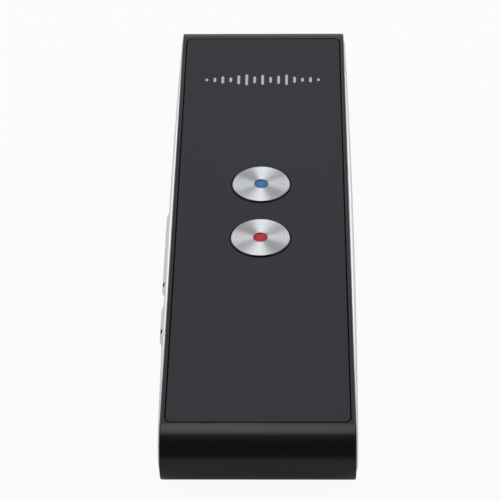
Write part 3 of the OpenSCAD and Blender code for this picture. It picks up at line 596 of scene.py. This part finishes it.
def side_cover(side):
    """A silver cover with a crowned face, rounded edge and four pairs of clips."""
    edge_steps, edge_bevel = 6, 0.08
    arc = [math.radians(90 * i / edge_steps) for i in range(1, edge_steps + 1)]
    edge_x, edge_out = COVER_X - COVER_EDGE, COVER_R - COVER_EDGE
    profile = [(SEAT_X, 0), (SEAT_X, COVER_R), (edge_x, COVER_R)]
    profile += [
        (edge_x + COVER_EDGE * math.sin(a), edge_out + COVER_EDGE * math.cos(a)) for a in arc
    ]
    profile += [(COVER_X, 0)]
    cover = run_round(profile, STRAIGHT_L)
    crown(cover, STRAIGHT_L / 2 + COVER_R)
    clip_reach, clip_root, clip_out, clip_t, clip_l = 1.8, 0.2, 4.15, 0.8, 6.0
    clips = []
    for y in CLIP_Y:
        for z in (MID_Z - clip_out, MID_Z + clip_out):
            clips.append(box((SEAT_X - clip_reach, y - clip_l / 2, z - clip_t / 2),
                (SEAT_X + clip_root, y + clip_l / 2, z + clip_t / 2)))
    cover = combine(cover, clips, "UNION")
    if side == "left":
        cover = mirrored(combine(cover, [key_slot(VOLUME_KEY), key_slot(POWER_KEY)]))
    piece(f"{side}_cover", soften(cover, edge_bevel), [silver],
        replaces=[f"{side}_side_cover"])


def crown(cover, half_l, cuts=32):
    """Lowers a cover's face towards its two ends, along a parabola."""
    snap = 0.0001
    for i in range(1, cuts):
        bmesh.ops.bisect_plane(
            cover, geom=cover.verts[:] + cover.edges[:] + cover.faces[:], dist=snap,
            plane_co=(0, (2 * i / cuts - 1) * half_l, 0), plane_no=(0, 1, 0))
    for vert in cover.verts:
        share = max(vert.co.x - SEAT_X, 0) / (COVER_X - SEAT_X)
        vert.co.x -= COVER_FALL * share * (vert.co.y / half_l) ** 2


def key_slot(key):
    """The opening in the left cover for a key."""
    x0, x1, out = SEAT_X - BEYOND, COVER_X + BEYOND, KEY_H / 2 + KEY_GAP
    profile = [(x0, 0), (x0, out), (x1, out), (x1, 0)]
    return run_round(profile, key["length"] - KEY_H, key["y"], steps=32)


def side_key(name, body, node, key, feet):
    """A key with a domed face, a dark dimple, a lip behind the cover, and feet for its switches."""
    dome_r, dome_steps, face_bevel, fine_bevel = 2.6, 8, 0.1, 0.03
    lip_x0, lip_x1 = KEY_LIP_X
    half_h = KEY_H / 2
    lip_out = half_h + KEY_LIP
    centre_x = key["face_x"] - dome_r
    arc = [math.asin(half_h / dome_r) * i / dome_steps for i in range(dome_steps + 1)]
    profile = [(centre_x + dome_r * math.cos(a), dome_r * math.sin(a)) for a in arc]
    profile += [(lip_x1, half_h), (lip_x1, lip_out), (lip_x0, lip_out), (lip_x0, 0)]
    made = run_round(profile, key["length"] - KEY_H, key["y"], steps=32)
    clear_of_lip = lip_x1 + 1
    soften(made, face_bevel, where=lambda edge: all(v.co.x > clear_of_lip for v in edge.verts))
    made = combine(made, feet, "UNION")
    # The dimple is bored square to the dome, above its middle
    dimple_r, dimple_depth = 0.6, 0.35
    way = Vector((math.cos(DIMPLE_TURN), 0, math.sin(DIMPLE_TURN)))
    dimple = Vector((centre_x, key["dimple_y"], MID_Z)) + way * (dome_r - dimple_depth)
    made = combine(made, [rod(dimple_r, dimple, dimple + way * BEYOND, steps=32)])
    # The dimple's faces take the black ink: print, and painted shade inside the bored hole
    for face in made.faces:
        if all((v.co - dimple).cross(way).length < dimple_r + NEAR
                and (v.co - dimple).dot(way) > -NEAR for v in face.verts):
            face.material_index = 1
    piece(name, mirrored(soften(made, fine_bevel)), [silver, dimple_ink_painted_shade], body,
        replaces=[node])


def side_keys():
    """The volume rocker turns on a rib, and the power key pushes straight in."""
    nub_r, rib_r, rib_x, reach = 0.9, 0.6, 15.8, 9.5
    half_h = KEY_H / 2
    volume_y, power_y = VOLUME_KEY["y"], POWER_KEY["y"]
    rocker_nub_x, push_nub_x = KEY_LIP_X[0] - 0.1, 16.4
    root_x = KEY_LIP_X[0] + 0.3
    feet = [
        rod(nub_r, (rocker_nub_x, y, MID_Z), (root_x, y, MID_Z))
        for y in (volume_y - reach, volume_y + reach)
    ]
    feet.append(rod(rib_r, (rib_x, volume_y, MID_Z - half_h), (rib_x, volume_y, MID_Z + half_h)))
    feet.append(box((rib_x, volume_y - rib_r, MID_Z - half_h),
        (root_x, volume_y + rib_r, MID_Z + half_h)))
    side_key("volume_rocker_key", "volume_rocker", "volume_key", VOLUME_KEY, feet)
    foot = rod(nub_r, (push_nub_x, power_y, MID_Z), (root_x, power_y, MID_Z))
    side_key("power_push_key", "power_button", "power_key", POWER_KEY, [foot])


def button(colour, enamel):
    """A spun cap with a hollow skirt and a polished bevel, and its dot of poured enamel."""
    y = BUTTON_Y[colour]
    body = f"{colour}_button"
    skirt, roof, lip = 1.2, 1.1, 0.05
    flat_r = BUTTON_R - BUTTON_BEVEL
    cap = lathe([
        (0, DOT_FLOOR), (DOT_R, DOT_FLOOR), (DOT_R, BUTTON_TOP - lip), (DOT_R + lip, BUTTON_TOP),
        (flat_r, BUTTON_TOP), (BUTTON_R, BUTTON_TOP - BUTTON_BEVEL),
        (BUTTON_R, BUTTON_FOOT), (BUTTON_R - skirt, BUTTON_FOOT),
        (BUTTON_R - skirt, BUTTON_TOP - roof), (0, BUTTON_TOP - roof),
    ], y)
    for face in cap.faces:
        middle = face.calc_center_median()
        face.material_index = int(math.hypot(middle.x, middle.y - y) > flat_r)
    piece(f"{colour}_cap", cap, [spun_aluminium(y), polished_edge], body,
        replaces=[f"{colour}_button_cap"])
    # Poured enamel stands lower round its edge than in its middle
    top, edge_drop, steps = BUTTON_TOP - 0.05, 0.17, 8
    dome = [(DOT_R * i / steps, top - edge_drop * (i / steps) ** 4) for i in range(steps, -1, -1)]
    dot = lathe([(0, DOT_FLOOR), (DOT_R, DOT_FLOOR)] + dome, y, steps=64)
    piece(f"{colour}_dot", dot, [enamel], body,
        replaces=[f"{colour}_button_dot"])


def sound_bars():
    """A printed row of upright bars, like the level of a voice, near the far end of the face."""
    heights = [1.0, 1.7, 2.8, 1.8, 3.5, 4.3, 2.6, 3.9, 2.2, 3.2, 4.1, 2.4, 1.5, 2.0, 1.0]
    pitch, width, ink, middle_y = 1.84, 0.62, 0.02, 49.0
    corner_r, corner_steps = width * 0.48, 5
    bm = bmesh.new()
    for step, height in zip(middled(len(heights)), heights):
        middle = (step * pitch, middle_y, CASE_T + ink / 2)
        made = add_block(bm, middle, (width, height, ink))
        corners = {edge for vert in made for edge in vert.link_edges
            if abs(edge.verts[0].co.z - edge.verts[1].co.z) > ink / 2}
        bevel(bm, list(corners), corner_r, segments=corner_steps)
    piece("printed_sound_bars", bm, [light_ink])


metal_case()
face_plate()
back_plate()
charging_socket()
side_cover("left")
side_cover("right")
side_keys()
button("blue", blue_enamel)
button("red", red_enamel)
sound_bars()


# ---- Stage, light and camera ----

def white_where_seen(tree, lit, share, mirrored_share):
    """Mixes a shader with plain white by a share for the camera, and one for metal and glass."""
    rays = add(tree, "ShaderNodeLightPath")
    mirrored = add(tree, "ShaderNodeMath", {
        0: rays.outputs["Is Glossy Ray"], 1: rays.outputs["Is Transmission Ray"],
    }, operation="ADD", use_clamp=True)
    mirrored = add(tree, "ShaderNodeMath", {0: mirrored.outputs[0], 1: mirrored_share},
        operation="MULTIPLY")
    seen = add(tree, "ShaderNodeMath", {
        0: rays.outputs["Is Camera Ray"], 1: share, 2: mirrored.outputs[0],
    }, operation="MULTIPLY_ADD")
    white = add(tree, "ShaderNodeEmission", {"Color": WHITE, "Strength": 1.0})
    return add(tree, "ShaderNodeMixShader", {0: seen.outputs[0], 1: lit, 2: white.outputs[0]})


def floor():
    """A plain white floor that the device lies on, 8 m across."""
    half_size, drop, contact = 4, 0.05 * MM, 0.3 * MM
    bm = bmesh.new()
    bmesh.ops.create_grid(bm, x_segments=1, y_segments=1, size=half_size)
    bmesh.ops.translate(bm, vec=(0, 0, -drop), verts=bm.verts)
    mesh = bpy.data.meshes.new("floor")
    bm.to_mesh(mesh)
    bm.free()
    material = bpy.data.materials.new("white_paper")
    material.use_nodes = True
    tree = material.node_tree
    tree.nodes.clear()
    paper = add(tree, "ShaderNodeBsdfDiffuse", {"Color": linear("#BCBCBC")})
    # What is mirrored keeps more of the shadow in which the device stands
    mixed = white_where_seen(tree, paper.outputs[0], share=0.94, mirrored_share=0.08)
    # Seen from below it lets the view through, and light to what lies flat on it
    clear = add(tree, "ShaderNodeBsdfTransparent", {"Color": WHITE})
    below = add(tree, "ShaderNodeNewGeometry").outputs["Backfacing"]
    length = add(tree, "ShaderNodeLightPath").outputs["Ray Length"]
    near = add(tree, "ShaderNodeMath", {0: length, 1: contact}, operation="LESS_THAN")
    let_by = add(tree, "ShaderNodeMath", {0: below, 1: near.outputs[0]}, operation="MAXIMUM")
    sheet = add(tree, "ShaderNodeMixShader", {
        0: let_by.outputs[0], 1: mixed.outputs[0], 2: clear.outputs[0],
    })
    add(tree, "ShaderNodeOutputMaterial", {"Surface": sheet.outputs[0]})
    mesh.materials.append(material)
    add_object("floor", mesh)


def studio_world():
    """A white backdrop for the camera, and a plain room that lights the device and is mirrored."""
    world = bpy.data.worlds.new("studio")
    world.use_nodes = True
    bpy.context.scene.world = world
    tree = world.node_tree
    tree.nodes.clear()
    rays = add(tree, "ShaderNodeLightPath")
    direction = add(tree, "ShaderNodeTexCoord").outputs["Generated"]
    axes = add(tree, "ShaderNodeSeparateXYZ", {0: direction})
    # The room is bright low down, and falls off above that
    height = add(tree, "ShaderNodeMapRange", {
        "Value": axes.outputs["Z"],
        "From Min": 0.1, "From Max": 0.45, "To Min": 0.8, "To Max": 0.1,
    })
    # A black card stands across the front, and is open beyond its two sides
    front = add(tree, "ShaderNodeMapRange", {
        "Value": axes.outputs["Y"],
        "From Min": -0.25, "From Max": 0.35, "To Min": 0.03, "To Max": 1.0,
    })
    across = add(tree, "ShaderNodeMath", {0: axes.outputs["X"]}, operation="ABSOLUTE")
    beside = add(tree, "ShaderNodeMapRange", {
        "Value": across.outputs[0],
        "From Min": 0.35, "From Max": 0.65, "To Min": 0.0, "To Max": 1.0,
    })
    card = add(tree, "ShaderNodeMath", {0: front.outputs[0], 1: beside.outputs[0]},
        operation="MAXIMUM")
    mirrored = add(tree, "ShaderNodeMath", {0: height.outputs[0], 1: card.outputs[0]},
        operation="MULTIPLY")
    # The card shades the room's light too, but lets some by
    room = add(tree, "ShaderNodeMapRange", {
        "Value": card.outputs[0],
        "From Min": 0.0, "From Max": 1.0, "To Min": 0.16, "To Max": 0.88,
    })
    level = add(tree, "ShaderNodeMix", {
        0: rays.outputs["Is Glossy Ray"], 2: room.outputs[0], 3: mirrored.outputs[0],
    })
    seen = add(tree, "ShaderNodeMath", {
        0: rays.outputs["Is Camera Ray"], 1: rays.outputs["Is Transmission Ray"],
    }, operation="ADD", use_clamp=True)
    strength = add(tree, "ShaderNodeMix", {0: seen.outputs[0], 2: level.outputs[0], 3: 1.0})
    light = add(tree, "ShaderNodeBackground", {"Color": WHITE, "Strength": strength.outputs[0]})
    add(tree, "ShaderNodeOutputWorld", {"Surface": light.outputs[0]})


def softbox(name, place, size, radiance):
    """A soft lamp that looks at the middle of the device. Its place and size are in metres."""
    lamp = bpy.data.lights.new(name, "AREA")
    lamp.shape = "RECTANGLE"
    lamp.size, lamp.size_y = size
    lamp.energy = radiance * math.pi * size[0] * size[1]
    made = add_object(name, lamp)
    made.location = place
    made.rotation_euler = (-Vector(place)).to_track_quat("-Z", "Y").to_euler()


def camera():
    """A long lens, looking down the device from its near end. Its place is in metres."""
    place = (0.00592, -0.39574, 0.32344)
    heading, down, roll = 1.21, 39.08, -0.80
    lens = bpy.data.cameras.new("camera")
    lens.sensor_width = 36
    lens.lens = 168.7
    lens.clip_start, lens.clip_end = 0.01, 50
    made = add_object("camera", lens)
    turn = (
        Matrix.Rotation(math.radians(heading), 4, "Z")
        @ Matrix.Rotation(math.radians(90 - down), 4, "X")
        @ Matrix.Rotation(math.radians(roll), 4, "Z")
    )
    made.matrix_world = Matrix.Translation(place) @ turn
    bpy.context.scene.camera = made


floor()
studio_world()
softbox("overhead_softbox", place=(-0.06, 0.35, 1.12), size=(0.42, 0.83), radiance=2.3)
softbox("back_strip_light", place=(0, 0.97, 0.70), size=(0.2, 0.5), radiance=1.3)
softbox("left_softbox", place=(-0.65, 0.83, 0.58), size=(0.42, 0.7), radiance=2.0)
softbox("right_softbox", place=(0.65, 0.83, 0.58), size=(0.42, 0.7), radiance=2.0)
camera()

bpy.context.scene.view_settings.view_transform = "Standard"
